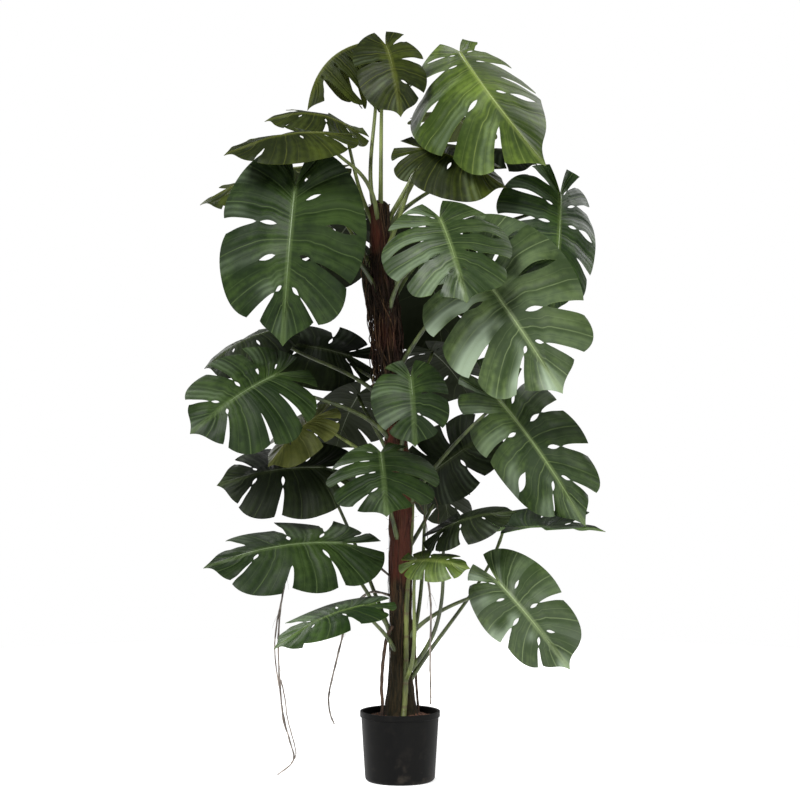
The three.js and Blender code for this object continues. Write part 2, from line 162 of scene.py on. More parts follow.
class Value:
    """A number that changes over a surface, as an expression of Math nodes."""

    def __init__(self, finish, socket):
        self.finish = finish
        self.socket = socket

    def maths(self, operation, *others):
        inputs = dict(enumerate(others))
        return self.finish.node("ShaderNodeMath", {"operation": operation}, inputs)

    def __add__(self, other):
        return self.maths("ADD", self, other)

    def __mul__(self, other):
        return self.maths("MULTIPLY", self, other)

    def __sub__(self, other):
        return self.maths("SUBTRACT", self, other)

    def __rsub__(self, other):
        return self.maths("SUBTRACT", other, self)

    def __truediv__(self, other):
        return self.maths("DIVIDE", self, other)

    def __abs__(self):
        return self.maths("ABSOLUTE", self)

    def wave(self):
        """Goes from -1 to 1 and back, once for every whole step of the value."""
        return self.maths("SINE", self * (2 * math.pi))

    __radd__ = __add__


# %% A finish


class Finish:
    """A material with a Principled shader, whose varying values come from nodes."""

    def __init__(self, name, **constants):
        self.material = bpy.data.materials.new(name)
        self.material.use_nodes = True
        self.tree = self.material.node_tree
        self.shader = self.tree.nodes["Principled BSDF"]
        for socket, value in constants.items():
            self.shader.inputs[socket.replace("_", " ")].default_value = value

    def node(self, kind, settings=None, inputs=None, output=0):
        """Any node: its settings first, then the values or links of its sockets."""
        made = self.tree.nodes.new(kind)
        for key, value in (settings or {}).items():
            setattr(made, key, value)
        for key, value in (inputs or {}).items():
            if isinstance(value, Value):
                self.tree.links.new(value.socket, made.inputs[key])
            else:
                made.inputs[key].default_value = value
        return Value(self, made.outputs[output])

    def place(self):
        return self.node("ShaderNodeTexCoord", output="Object")

    def stretched(self, scale):
        return self.node("ShaderNodeMapping", None, {"Vector": self.place(), "Scale": scale})

    def noise(self, scale, detail=3.0, vector=None, roughness=0.5):
        inputs = {"Scale": scale, "Detail": detail, "Roughness": roughness}
        return self.node("ShaderNodeTexNoise", None, {**inputs, "Vector": vector or self.place()})

    def fade(self, value, low, high, start=0.0, end=1.0):
        """A smooth step: start where the value is below low, and end above high."""
        inputs = {"Value": value, "From Min": low, "From Max": high, "To Min": start, "To Max": end}
        return self.node("ShaderNodeMapRange", {"interpolation_type": "SMOOTHSTEP"}, inputs)

    def blend(self, share, first, second):
        """Two colours mixed."""
        inputs = {0: share, 6: first, 7: second}
        return self.node("ShaderNodeMix", {"data_type": "RGBA"}, inputs, output=2)

    def uv(self, name):
        """The two numbers of one of the piece's own UV maps."""
        split = self.tree.nodes.new("ShaderNodeSeparateXYZ")
        source = self.tree.nodes.new("ShaderNodeUVMap")
        source.uv_map = name
        self.tree.links.new(source.outputs[0], split.inputs[0])
        return Value(self, split.outputs[0]), Value(self, split.outputs[1])

    def feed(self, socket, value):
        self.tree.links.new(value.socket, self.shader.inputs[socket])

    def height(self):
        """Metres above the floor."""
        return self.node("ShaderNodeSeparateXYZ", None, {0: self.place()}, output=2)

    def dress(self, base, roughness, relief, strength, depth):
        """Feeds the colour, the roughness and a relief, whose depth is in metres."""
        self.feed("Base Color", base)
        self.feed("Roughness", roughness)
        inputs = {"Height": relief, "Strength": strength, "Distance": depth}
        self.feed("Normal", self.node("ShaderNodeBump", None, inputs))


def colour(red, green, blue):
    """A screen colour from 0 to 255 as the shader's linear colour."""
    shares = [level / 255 for level in (red, green, blue)]
    linear = [c / 12.92 if c <= 0.04 else ((c + 0.055) / 1.055) ** 2.4 for c in shares]
    return (*linear, 1.0)


# %% [markdown]
# ## The floor
# A wide pale disc, so that the plant stands on something. The photograph's floor is almost as white as
# its backdrop and shows next to no shadow, as on a lit table, so this one glows a little by itself.

# %% Floor
FLOOR_RADIUS = 3.0
FLOOR_GLOW = 0.55

floor_mesh = bmesh.new()
bmesh.ops.create_circle(floor_mesh, cap_ends=True, segments=96, radius=FLOOR_RADIUS)
floor_data = bpy.data.meshes.new("floor")
floor_mesh.to_mesh(floor_data)
floor_mesh.free()
floor = bpy.data.objects.new("floor", floor_data)
scene.collection.objects.link(floor)
floor_finish = Finish("floor_paper", Roughness=0.9)
floor_finish.shader.inputs["Base Color"].default_value = (0.9, 0.9, 0.9, 1)
floor_finish.shader.inputs["Emission Color"].default_value = (1, 1, 1, 1)
floor_finish.shader.inputs["Emission Strength"].default_value = FLOOR_GLOW
floor_data.materials.append(floor_finish.material)
floor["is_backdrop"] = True

# %% [markdown]
# ## From a flat grid to a formed sheet
# A blade, a stalk and the trunk's bark are all sheets that were formed: a leaf finger is a flat strip bent
# in space, and a stalk is a strip rolled up. So each starts as bmesh's own grid, whose vertices are then
# moved to a place worked out from how far they are across and along. Edges that meet are merged.

# %% Grid, tube and piece
MERGE = 2e-5
SHARP = math.radians(48)


def formed_grid(bm, columns, rows, place, reverse=False, maps=None, material=0):
    """A grid whose vertices go to place(across, along), each from 0 to 1. maps gives UV values alike."""
    made = bmesh.ops.create_grid(bm, x_segments=columns, y_segments=rows, size=0.5)
    vertices = made["verts"]
    faces = {face for vertex in vertices for face in vertex.link_faces}
    for name, value in (maps or {}).items():
        layer = bm.loops.layers.uv.get(name) or bm.loops.layers.uv.new(name)
        for face in faces:
            for loop in face.loops:
                loop[layer].uv = value(loop.vert.co.x + 0.5, loop.vert.co.y + 0.5)
    for face in faces:
        face.material_index = material
        face.smooth = True
    for vertex in vertices:
        vertex.co = place(vertex.co.x + 0.5, vertex.co.y + 0.5)
    if reverse:
        bmesh.ops.reverse_faces(bm, faces=list(faces))


def carried_frames(points):
    """A right-handed frame at each point of a path, turned as little as possible from the one before."""
    tangents = []
    for i in range(len(points)):
        ahead = points[min(i + 1, len(points) - 1)]
        behind = points[max(i - 1, 0)]
        tangents.append((ahead - behind).normalized())
    side = tangents[0].orthogonal().normalized()
    frames = []
    for tangent in tangents:
        side = (side - tangent * side.dot(tangent)).normalized()
        frames.append((side, tangent.cross(side)))
    return frames


def tube(bm, points, radius, sides, material=0):
    """A round tube along points, closed at both ends. radius is a function of the share of the way."""
    frames = carried_frames(points)
    last = len(points) - 1

    def place(across, along):
        step = along * (last + 2) - 1  # the first and the last row close the ends
        i = int(round(min(max(step, 0), last)))
        size = radius(i / last) if -0.5 < step < last + 0.5 else 0.0
        turn = 2 * math.pi * across
        side, up = frames[i]
        return points[i] + (side * math.cos(turn) + up * math.sin(turn)) * size

    formed_grid(bm, sides, last + 2, place, material=material)


def piece(name, bm, finishes, node=None, thickness=None):
    """The bmesh as a finished object that rides on the plant, in the place of its CAD node."""
    bmesh.ops.remove_doubles(bm, verts=bm.verts, dist=MERGE)
    data = bpy.data.meshes.new(name)
    bm.to_mesh(data)
    bm.free()
    made = bpy.data.objects.new(name, data)
    scene.collection.objects.link(made)
    for finish in finishes:
        data.materials.append(finish.material)
    if thickness:
        thicken(made, thickness)
    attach(made, BODY)
    if node:
        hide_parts(node)
    return made


def thicken(made, thickness):
    """A sheet gets its wall, with the next finish on the underside and the rim."""
    wall = made.modifiers.new("wall", "SOLIDIFY")
    wall.thickness = thickness
    wall.offset = 0
    wall.material_offset = 1
    wall.material_offset_rim = 1
    solid = bpy.data.meshes.new_from_object(made.evaluated_get(bpy.context.evaluated_depsgraph_get()))
    made.modifiers.clear()
    solid.name = made.name
    made.data = solid
    bm = bmesh.new()
    bm.from_mesh(solid)
    for edge in bm.edges:
        edge.smooth = edge.calc_face_angle(0) < SHARP
    bm.to_mesh(solid)
    bm.free()


def triangles(made):
    return sum(len(polygon.vertices) - 2 for polygon in made.data.polygons)


# %% [markdown]
# ## The leaf's finish
# A mature blade is dark and waxy above, with a broad pale midrib, one thin pale side vein along each
# finger and fainter ones beside it. Below it is duller. A grey sheen is painted on the side of a finger
# that is turned to the light, in patches, and painted shade darkens its other side, the valleys at the
# veins and the half of the blade beyond the midrib. All this could be painted on each leaf, but a formula
# does it for 33 at once. The blade carries three UV maps, so the pattern follows it however it bends:
# flat is the place on the unformed blade in metres, vein is the distance to the side vein and the finger's
# width in metres, and finger is the place within the finger.

# %% Leaf tones
def leaf_tone(dark, light, vein, shine, painted_sheen, halves=0.2, under=1.0):
    """The number after shine paints a grey sheen, halves is how much painted shade darkens one half, and
    under is how light the underside is.
    """
    return dict(dark=colour(*dark), light=colour(*light), vein=colour(*vein), shine=shine, painted_sheen=painted_sheen,
                halves=halves, under=under)


# The tones differ partly in the leaves' own colour, as the olive crown does from the greener leaves below,
# and partly are lighter and darker copies of one green, each given to a leaf for the light it gets. The
# darkest is painted shade for the leaves inside and at the back of the foliage, with a darkened underside,
# and the satin one is a lighter copy with the strongest painted sheen.
TONES = {
    "olive": leaf_tone((24, 31, 7), (60, 70, 17), (88, 94, 36), shine=0.02, painted_sheen=0.06),
    "bright": leaf_tone((42, 58, 14), (92, 112, 40), (124, 138, 70), shine=0.12, painted_sheen=0.12),
    "big": leaf_tone((20, 34, 10), (48, 66, 25), (84, 102, 58), shine=0.03, painted_sheen=0.1),
    "mid": leaf_tone((22, 40, 12), (58, 82, 29), (94, 114, 56), shine=0.1, painted_sheen=0.18),
    "satin": leaf_tone((40, 56, 24), (88, 106, 58), (126, 142, 96), shine=0.34, painted_sheen=1.0, halves=0.35),
    "sheen": leaf_tone((32, 48, 18), (74, 94, 44), (112, 130, 78), shine=0.2, painted_sheen=0.3, halves=0.35),
    "painted_shade": leaf_tone((19, 26, 12), (41, 51, 24), (62, 72, 40), shine=0.02, painted_sheen=0.04, under=0.4),
    "pale": leaf_tone((60, 66, 28), (92, 96, 44), (122, 124, 70), shine=0.08, painted_sheen=0.1),
}
PAINTED_SHEEN_COLOUR = colour(142, 158, 134)  # painted sheen: a grey reflection of the light, painted on the half of a finger that faces it
PAINTED_SHEEN_SCALE = 7.5  # the painted sheen lies in patches of a few fingers
PAINTED_SHEEN_PATCH = (0.34, 0.5)
HALVES = (-0.03, 0.03)  # metres across the midrib, from the half in shade to the half in light
SIDE_VEIN = 0.0012  # half the width of a side vein
MINOR_VEIN = 0.0008
MINOR_PLACE = 0.27  # the fainter veins lie this share of a finger's width beside the side vein
RIB = 0.006  # half the width of the pale band along the midrib
RIPPLES = 5.2  # the ridges between veins, across one finger
FULL_WIDTH = 0.03  # a finger this wide shows its ridges at full depth
PORES = 210.0  # the skin's fine grain, in cells a metre
GLOSS = (0.12, 0.2)  # the specular level of the dullest and of the shiniest blade


# %% Leaf finishes
def vein_masks(finish):
    """The place across the blade, its pale veins, the valleys at them, where shade is painted, and the
    ridges between.
    """
    distance, width = finish.uv("vein")
    across = finish.uv("flat")[0]
    middle = abs(distance)
    share = middle / (width + 0.002)
    uneven = finish.noise(16.0, 2.0)
    side_vein = finish.fade(middle, SIDE_VEIN * 0.3, SIDE_VEIN * 1.8, 1.0, 0.0)
    side_vein = side_vein * finish.fade(uneven, 0.3, 0.6, 0.25)
    minor = finish.fade(abs(middle - width * MINOR_PLACE), MINOR_VEIN * 0.3, MINOR_VEIN * 1.8, 1.0, 0.0)
    rib = finish.fade(abs(across), RIB * 0.5, RIB * 1.5, 1.0, 0.0)
    valley = finish.fade(share, 0.0, 0.2, 1.0, 0.0)
    ridges = (share * RIPPLES + uneven * 0.8).wave() * finish.fade(width, 0.0, FULL_WIDTH)
    return across, side_vein, minor * uneven, rib, valley, ridges


def leaf_finish(name, tone):
    finish = Finish(name, Coat_Weight=tone["shine"], Coat_Roughness=0.36,
                    Specular_IOR_Level=mix(*GLOSS, clamp01(tone["shine"] * 3)))
    across, side_vein, minor, rib, valley, ridges = vein_masks(finish)
    lobe, out = finish.uv("finger")
    lit_half = finish.fade(across, *HALVES)
    broad = finish.noise(7.0, 2.0)
    mottle = finish.noise(55.0, 4.0)
    # Random light and dark patches of the leaf's own green; the ridges add a faint painted highlight.
    share = finish.fade(broad * 0.7 + mottle * 0.35 + ridges * 0.035, 0.42, 0.74)
    base = finish.blend(share, tone["dark"], tone["light"])
    # Painted sheen: a grey reflection of the light painted on the side of each finger that faces it, in
    # patches, mostly on the half of the blade in light, and a little stronger on the ridges.
    sunny = finish.fade(lobe + broad * 0.6, 0.6, 1.05) * finish.fade(out, 0.05, 0.4)
    sunny = sunny * finish.fade(finish.noise(PAINTED_SHEEN_SCALE, 1.0), *PAINTED_SHEEN_PATCH) * (lit_half * 0.85 + 0.15)
    base = finish.blend(sunny * tone["painted_sheen"] + ridges * sunny * 0.05, base, PAINTED_SHEEN_COLOUR)
    # Painted shade: the other side of each finger, the half of the blade in shade and the valleys at the
    # veins are darkened towards the dark green.
    shade = finish.fade(lobe + broad * 0.3, 0.25, 0.6, 1.0, 0.0)
    shade = shade * 0.3 + (1 - lit_half) * tone["halves"]
    base = finish.blend(valley * 0.45 + shade, base, tone["dark"])
    base = finish.blend(side_vein * 0.4 + minor * 0.25, base, tone["vein"])
    base = finish.blend(rib * 0.35, base, tone["vein"])
    cells = finish.node("ShaderNodeTexVoronoi", {"feature": "DISTANCE_TO_EDGE"},
                        {"Scale": PORES, "Vector": finish.place()})
    relief = side_vein * 0.35 - valley * 1.1 + ridges * 0.28 + cells * 0.35 + mottle * 0.8
    finish.dress(base, 0.42 + mottle * 0.16 + valley * 0.08, relief, 0.8, 0.001)
    return finish


def underside_finish(name, tone):
    finish = Finish(name, Specular_IOR_Level=GLOSS[0])
    side_vein, minor, rib, valley, ridges = vein_masks(finish)[1:]
    broad = finish.noise(9.0, 2.0)
    under = tone["under"]
    # under below one darkens the underside, as painted shade for the leaves in the foliage's shade.
    plain = [light * under for light in tone["light"][:3]]
    pale = [mix(light, vein, 0.3) * 0.8 * under for light, vein in zip(tone["light"][:3], tone["vein"])]
    base = finish.blend(broad, [*plain, 1.0], [*pale, 1.0])
    base = finish.blend((side_vein * 0.6 + minor * 0.3 + rib * 0.3) * under, base, tone["vein"])
    relief = side_vein * 0.8 + valley * 0.6 + ridges * 0.25
    finish.dress(base, 0.6 + broad * 0.1, relief, 0.7, 0.001)
    return finish


leaf_tops = {key: leaf_finish("leaf_" + key, tone) for key, tone in TONES.items()}
leaf_unders = {key: underside_finish("leaf_under_" + key, tone) for key, tone in TONES.items()}
print("leaf finishes:", len(leaf_tops) + len(leaf_unders))

# %% [markdown]
# ## The leaves' places
# Each leaf is given by the two ends of its midrib, the way that its upper face looks, and the height on
# the trunk where its stalk starts, in millimetres as in the part's source. The rest are shares of the
# midrib's length and angles in degrees. cuts has one letter for each border between two fingers, from the
# stalk to the tip: o for an open split, h for a hole and s for grown shut.

# %% Leaf table
LEAF = dict(width=0.46, lobes=6, arch=0.08, fold=(8, 8), curl=26, flutter=0.07, pleat=0.026, hook=0.11,
            gap=0.018, split=(0.28, 0.5), open=0.72, cuts=None, bend=(0, 0, 0), tone="painted_shade")


def grown(base, tip, face, joint, **form):
    return {**LEAF, "base": base, "tip": tip, "face": face, "joint": joint, **form}


LEAF_ROWS = [
    # leaf_01 to leaf_24: front and sides, from the top down
    grown((-78, 30, 1776), (-222, 0, 1606), (-0.4, -0.45, 0.8), 1352, width=0.8, lobes=6, arch=0.2,
          fold=(48, 60), curl=45, gap=0.05, split=(0.14, 0.26), open=1, tone="olive"),
    grown((142, -50, 1740), (338, -190, 1452), (-0.6, -0.55, 0.6), 1322, width=0.57, arch=0.22,
          fold=(56, 0), curl=24, cuts=("ooohs", "hohoo"), bend=(0, 120, 0), tone="bright"),
    grown((-166, -180, 1530), (-404, -225, 1472), (0, -0.45, 0.9), 1290, width=0.42, lobes=4,
          bend=(40, 20, 90), tone="olive"),
    grown((-200, 40, 1478), (-486, 60, 1385), (0.1, -0.35, 1), 1200, lobes=5, tone="olive"),
    grown((-241, -196, 1410), (-268, -241, 1034), (0, -1, 0.25), 1150, width=0.49, arch=0.1,
          cuts=("sshoo", "ssoso"), tone="big"),
    grown((91, -215, 1332), (150, -345, 1128), (0, -0.75, 0.65), 1090, width=0.66, bend=(-30, -10, 20),
          cuts=("sohos", "hohoo"), tone="sheen"),
    grown((166, -175, 1238), (370, -265, 926), (0, -1, 0.2), 960, width=0.54, arch=0.05, fold=(4, 18),
          cuts=("shhoo", "soooo"), tone="satin"),
    grown((384, -10, 1408), (358, -80, 1112), (0.2, -1, 0.3), 1160, width=0.54, fold=(30, 5),
          cuts=("oohoo", "ohooo"), tone="mid"),
    grown((50, -64, 1510), (250, -100, 1410), (0.2, -0.8, 0.9), 1256, lobes=5, width=0.56, tone="olive"),
    grown((186, 110, 1530), (336, 90, 1486), (0.1, -0.6, 1), 1306, lobes=3),
    grown((-284, -110, 975), (-486, -180, 833), (0, -0.8, 0.6), 800, width=0.64, lobes=5, open=1,
          tone="big"),
    grown((-301, 62, 1084), (-477, 76, 988), (0, -0.4, 0.9), 880, lobes=4, width=0.62),
    grown((-196, -20, 876), (-313, -60, 753), (-0.3, -0.6, 0.6), 700, lobes=4, tone="pale"),
    grown((-181, 35, 750), (-445, 55, 704), (0, -0.8, 0.7), 310, width=0.5, lobes=5, bend=(30, 30, 0)),
    grown((-130, -50, 572), (-464, -90, 515), (0, -0.6, 0.8), 330, width=0.42, lobes=5, tone="big"),
    grown((-80, -120, 432), (-292, -180, 335), (-0.1, -0.4, 0.9), 290, width=0.43, lobes=4, fold=(-12, 5),
          tone="mid"),
    grown((228, -90, 488), (396, -150, 284), (-0.1, -0.9, 0.4), 322, width=0.42, lobes=5, fold=(0, 25),
          tone="satin"),
    grown((225, -60, 925), (436, -110, 615), (0.3, -1, 0.1), 640, width=0.4, fold=(8, 45),
          cuts=("hoooo", "oooho"), tone="sheen"),
    grown((-45, -120, 790), (-30, -280, 647), (0, -0.6, 0.8), 560, width=0.68, lobes=5, tone="big"),
    grown((25, -120, 968), (35, -165, 803), (0.1, -1, 0.3), 760, width=0.6, lobes=4, tone="big"),
    grown((233, 0, 600), (490, -40, 598), (0, -0.25, 1), 212, lobes=5, arch=0.04, fold=(-10, -22), curl=10,
          tone="mid"),
    grown((33, -116, 536), (164, -150, 519), (0, -0.6, 0.8), 226, lobes=4, bend=(40, -20, -40),
          tone="bright"),
    grown((68, 60, 730), (250, 90, 855), (0.2, -0.9, 0.3), 264, lobes=5),
    grown((-120, 150, 1020), (-350, 190, 1050), (0, -0.8, 0.6), 905, lobes=4),
    # leaf_25 to leaf_30: back, from the top down
    grown((98, 120, 1620), (200, 330, 1570), (0.1, 0.2, 1), 1262, lobes=4, bend=(-30, 60, 0),
          tone="olive"),
    grown((60, 150, 1290), (110, 290, 1010), (0.2, 0.8, 0.6), 1110, lobes=4, width=0.56),
    grown((-110, 170, 1370), (-230, 310, 1190), (-0.2, 0.8, 0.6), 1060, lobes=4),
    grown((74, 160, 1036), (181, 300, 912), (0.2, 0.8, 0.6), 850, lobes=4, width=0.6),
    grown((-99, 150, 931), (-165, 280, 781), (-0.2, 0.8, 0.6), 725, lobes=4, width=0.6),
    grown((98, 150, 716), (124, 275, 584), (0.2, 0.8, 0.6), 530, lobes=4, bend=(30, 0, 0)),
    # leaf_31 beside the crown, leaf_32 low on the right, leaf_33 under the crown on the left
    grown((-34, -66, 1754), (2, -121, 1574), (0, -0.6, 0.8), 1345, width=0.5, lobes=4, arch=0.14,
          bend=(-16, 60, 0), tone="olive"),
    grown((96, -80, 606), (276, -95, 648), (0, -0.45, 0.9), 245, lobes=4, bend=(70, 0, 0)),
    grown((-124, -14, 1568), (-324, -20, 1577), (0, -0.5, 0.85), 1325, width=0.4, lobes=4, arch=0.14,
          open=1, tone="olive"),
]
LEAVES = {f"leaf_{order:02d}": row for order, row in enumerate(LEAF_ROWS, 1)}
print("leaves:", len(LEAVES))

# %% The blade's outline and veins
HEART = dict(sinus=160, spread=1.25, round=0.56, long=0.3, point=0.12, narrow=0.09, widest=0.63)
SHOULDER = dict(reach=0.1, turn=0.45, spread=0.35)  # the blade stays broad towards its tip
VEIN = dict(last=0.82, spread=1.5, bow=0.32)
HOLE_END = 0.87
FRONT_HOOK = 0.6
CORNER = 3  # how close to its corners a finger's end is trimmed
TWIST = 0.8


def edge_point(u, width):
    """The blade's edge, from the notch at the stalk, u = 0, round to the tip, u = 1."""
    turn = math.radians(HEART["sinus"]) * (1 - u) ** HEART["spread"]
    shoulder = SHOULDER["reach"] * math.exp(-(((turn - SHOULDER["turn"]) / SHOULDER["spread"]) ** 2))
    point = HEART["point"] * math.exp(-turn / HEART["narrow"])
    reach = HEART["round"] + HEART["long"] * math.cos(turn) + point + shoulder
    return width / HEART["widest"] * reach * math.sin(turn), reach * math.cos(turn)


def vein_point(u, v, width):
    """A place along a bowed vein, from the midrib, v = 0, to the edge, v = 1."""
    x, y = edge_point(u, width)
    start = VEIN["last"] * u ** VEIN["spread"]
    length = math.hypot(x, y - start)
    return x * v, mix(start, y, v) - VEIN["bow"] * length * v * (1 - v)


# %% [markdown]
# ## Splits, holes and perforations
# Between two side veins the blade is split to its edge, has a long hole that never reached the edge, or
# has grown shut. Close to the midrib there may be a small oval perforation as well. All are gaps between
# two fingers, so a finger's edge moves aside where its border has one, and the fingers merge elsewhere.

# %% Borders between fingers
INNER = dict(share=0.6, start=0.4, end=0.85, gap=0.012)  # the small perforations near the midrib


def border_of(leaf, side, k):
    seed = leaf["seed"] + side * 0.5
    inside = 0 < k < leaf["lobes"]
    drawn = "o" if draw(seed, k + 20) < leaf["open"] else "s"
    cut = leaf["cuts"][1 if side > 0 else 0][k - 1] if leaf["cuts"] and inside else drawn
    return dict(
        start=mix(*leaf["split"], draw(seed, k)) if inside else leaf["split"][0],
        gap=leaf["gap"] * mix(0.5, 1.5, draw(seed, k + 60)),
        open=inside and cut == "o",
        hole=inside and cut == "h",
        inner=inside and draw(seed, k + 80) < INNER["share"],
    )


def gap_at(border, v):
    """Half the width of a border's gap, as a share of the edge's run."""
    if border["inner"]:
        low, high = INNER["start"] * border["start"], INNER["end"] * border["start"]
        if low < v < high:
            return INNER["gap"] * math.sin(math.pi * (v - low) / (high - low)) ** 0.6
    end = HOLE_END if border["hole"] else 1.0
    run = clamp01((v - border["start"]) / (end - border["start"]))
    if border["hole"]:
        return border["gap"] * math.sin(math.pi * run)
    return border["gap"] * math.sqrt(run) if border["open"] else 0.0


def loose_at(border, v):
    """How free a finger's edge is, from 0 where it is grown to its neighbour."""
    return clamp01((v - border["start"]) / (1 - border["start"])) if border["open"] else 0.0


# %% Forming a finger
CREASE = dict(share=0.45, width=0.1)  # the sharp valley along a side vein, within the soft one
WAVE = dict(depth=0.006, turns=2.3)  # a free edge waves


def blade_place(leaf, x, y, lift):
    """A flat place in the plant's frame: arched along the midrib, and folded and curled across it."""
    fold = leaf["folds"][0 if x < 0 else 1]
    bend = leaf["curls"] / leaf["width"]
    angle = fold + bend * abs(x)
    out = (math.sin(angle) - math.sin(fold)) / bend
    drop = (math.cos(fold) - math.cos(angle)) / bend
    run = max(y, 0)
    rise = 4 * leaf["arch"] * y * (1 - run)
    slope = 4 * leaf["arch"] * (1 - 2 * run)
    up = (lift - drop) / math.hypot(1, slope)
    across = leaf["right"] * (math.copysign(out, x) * leaf["length"])
    along = leaf["along"] * ((y - slope * up) * leaf["length"])
    return leaf["root"] + across + along + leaf["normal"] * ((rise + up) * leaf["length"])


def finger_point(leaf, side, k, f, v, rear, front):
    """The flat place and the lift of a point: f across finger k, and v from the midrib out."""
    loose_rear, loose_front = loose_at(rear, v), loose_at(front, v)
    low = k / leaf["lobes"] + gap_at(rear, v)
    high = (k + 1) / leaf["lobes"] - gap_at(front, v)
    rear_trim = leaf["hook"] * (1 - f) ** CORNER * loose_rear ** 2
    front_trim = leaf["hook"] * FRONT_HOOK * f ** CORNER * loose_front ** 2
    x, y = vein_point(mix(low, high, f), v * (1 - rear_trim - front_trim), leaf["width"])
    loose = mix(loose_rear, loose_front, f)
    spread = leaf["flutter"] * (draw(leaf["seed"] + side * 0.5, k + 40) - 0.5 + TWIST * (f - 0.5)) * loose
    soft = math.sin(math.pi * f) * (1 - CREASE["share"])
    crease = math.exp(-(((f - 0.5) / CREASE["width"]) ** 2)) * CREASE["share"]
    pleat = leaf["pleat"] * (soft + crease) * math.sin(math.pi * v)
    phase = 2 * math.pi * (WAVE["turns"] * v + draw(leaf["seed"], k + 90))
    wave = WAVE["depth"] * math.sin(phase) * loose * (2 * f - 1) ** 2
    return x, y, spread - pleat + wave


# %% Building a blade
COLUMNS = 10
ROWS = dict(inner=10, middle=10, outer=4)
BLADE = 1.2 * MM


def leaf_of(name, seed):
    leaf = {**LEAVES[name], "name": name, "seed": seed}
    root, tip, face = (Vector(leaf[key]) for key in ("base", "tip", "face"))
    along = tip - root
    leaf["length"] = along.length * MM
    leaf["along"] = along.normalized()
    leaf["normal"] = (face - leaf["along"] * face.dot(leaf["along"])).normalized()
    leaf["right"] = leaf["along"].cross(leaf["normal"])
    leaf["root"] = root * MM
    leaf["folds"] = [math.radians(angle) for angle in leaf["fold"]]
    leaf["curls"] = math.radians(leaf["curl"])
    return leaf


def row_at(share, start):
    """Rows are spaced so that one lies where the split starts, and one where a hole ends."""
    step = share * sum(ROWS.values())
    if step <= ROWS["inner"]:
        return start * step / ROWS["inner"]
    step -= ROWS["inner"]
    if step <= ROWS["middle"]:
        return mix(start, HOLE_END, step / ROWS["middle"])
    return mix(HOLE_END, 1.0, (step - ROWS["middle"]) / ROWS["outer"])


def finger(bm, leaf, side, k):
    rear, front = border_of(leaf, side, k), border_of(leaf, side, k + 1)

    def flat(f, share):
        v = row_at(share, mix(rear["start"], front["start"], f))
        return (*finger_point(leaf, side, k, f, v, rear, front), v)

    def place(f, share):
        x, y, lift, v = flat(f, share)
        return blade_place(leaf, side * x, y, lift)

    def flat_uv(f, share):
        x, y, lift, v = flat(f, share)
        return side * x * leaf["length"], y * leaf["length"]

    def vein_uv(f, share):
        first, last = flat(0, share), flat(1, share)
        width = math.hypot(first[0] - last[0], first[1] - last[1]) * leaf["length"]
        return (f - 0.5) * width, width

    def finger_uv(f, share):
        return f, flat(f, share)[3]

    maps = {"flat": flat_uv, "vein": vein_uv, "finger": finger_uv}
    formed_grid(bm, COLUMNS, sum(ROWS.values()), place, reverse=side > 0, maps=maps)


def blade(leaf):
    bm = bmesh.new()
    for side in (1, -1):
        for k in range(leaf["lobes"]):
            finger(bm, leaf, side, k)
    finishes = [leaf_tops[leaf["tone"]], leaf_unders[leaf["tone"]]]
    return piece(leaf["name"] + "_blade", bm, finishes, leaf["name"], thickness=BLADE)


leaves = [leaf_of(name, seed) for seed, name in enumerate(LEAVES, 1)]
blades = [blade(leaf) for leaf in leaves]
print("blades:", len(blades), "triangles:", sum(triangles(made) for made in blades))

# %% [markdown]
# ## The trunk's shape
# Three stems have grown together and are clad in fibre. The section is a rounded trefoil that turns as it
# climbs, with swellings at the old leaf scars. The finer bark here follows the same formula and adds
# ridges of fibre that run along it.

# %% Trunk formula
POT = dict(rim=96, foot=84, height=167, wall=2.6, lip=3, band=14, corner=9, edge=1)
SOIL = dict(depth=17, heap=7, clear=0.8)
TRUNK = dict(foot=26, top=23, flare=12, flare_height=50, height=1385, lean=-50, lean_from=640, sway=6,
             sway_length=260)
STEMS = dict(count=3, depth=0.09, twist=190)
SCARS = dict(depth=0.05, rise=24)
KNOTS = dict(depth=0.03, rise=11)


def trunk_axis(z):
    share = smooth01((z - TRUNK["lean_from"]) / (TRUNK["height"] - TRUNK["lean_from"]))
    return Vector((TRUNK["lean"] * share, TRUNK["sway"] * math.sin(z / TRUNK["sway_length"]), z))


def trunk_radius(z, turn):
    climb = clamp01((z - POT["height"]) / (TRUNK["height"] - POT["height"]))
    lobes = 1 + STEMS["depth"] * math.sin(STEMS["count"] * turn + z / STEMS["twist"])
    winding = SCARS["depth"] * math.sin(z / SCARS["rise"] + 2 * turn)
    bumps = KNOTS["depth"] * math.sin(z / KNOTS["rise"] - turn)
    flare = TRUNK["flare"] * math.exp(-(z - POT["height"]) / TRUNK["flare_height"])
    return mix(TRUNK["foot"], TRUNK["top"], climb) * lobes * (1 + winding + bumps) + flare


def on_trunk(z, turn, proud=0.0):
    """A point on the trunk in metres, from its height in millimetres and its turn."""
    r = trunk_radius(z, turn) + proud
    return (trunk_axis(z) + Vector((r * math.cos(turn), r * math.sin(turn), 0))) * MM


# %% [markdown]
# ## Stalks and midribs
# A stalk leaves the trunk from a clasping sheath, runs out in one bow, and has a thickened knuckle just
# under the blade, which turns the blade to the light. Past the knuckle it goes on as the midrib, proud of
# the blade on both faces and thinning to the tip. Both are rolled strips along the same curve as in the
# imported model.

# %% Stalk finish
STALK_TONES = {
    "light": (colour(74, 84, 34), colour(104, 116, 54)),
    "dark": (colour(44, 52, 26), colour(74, 86, 40)),
}


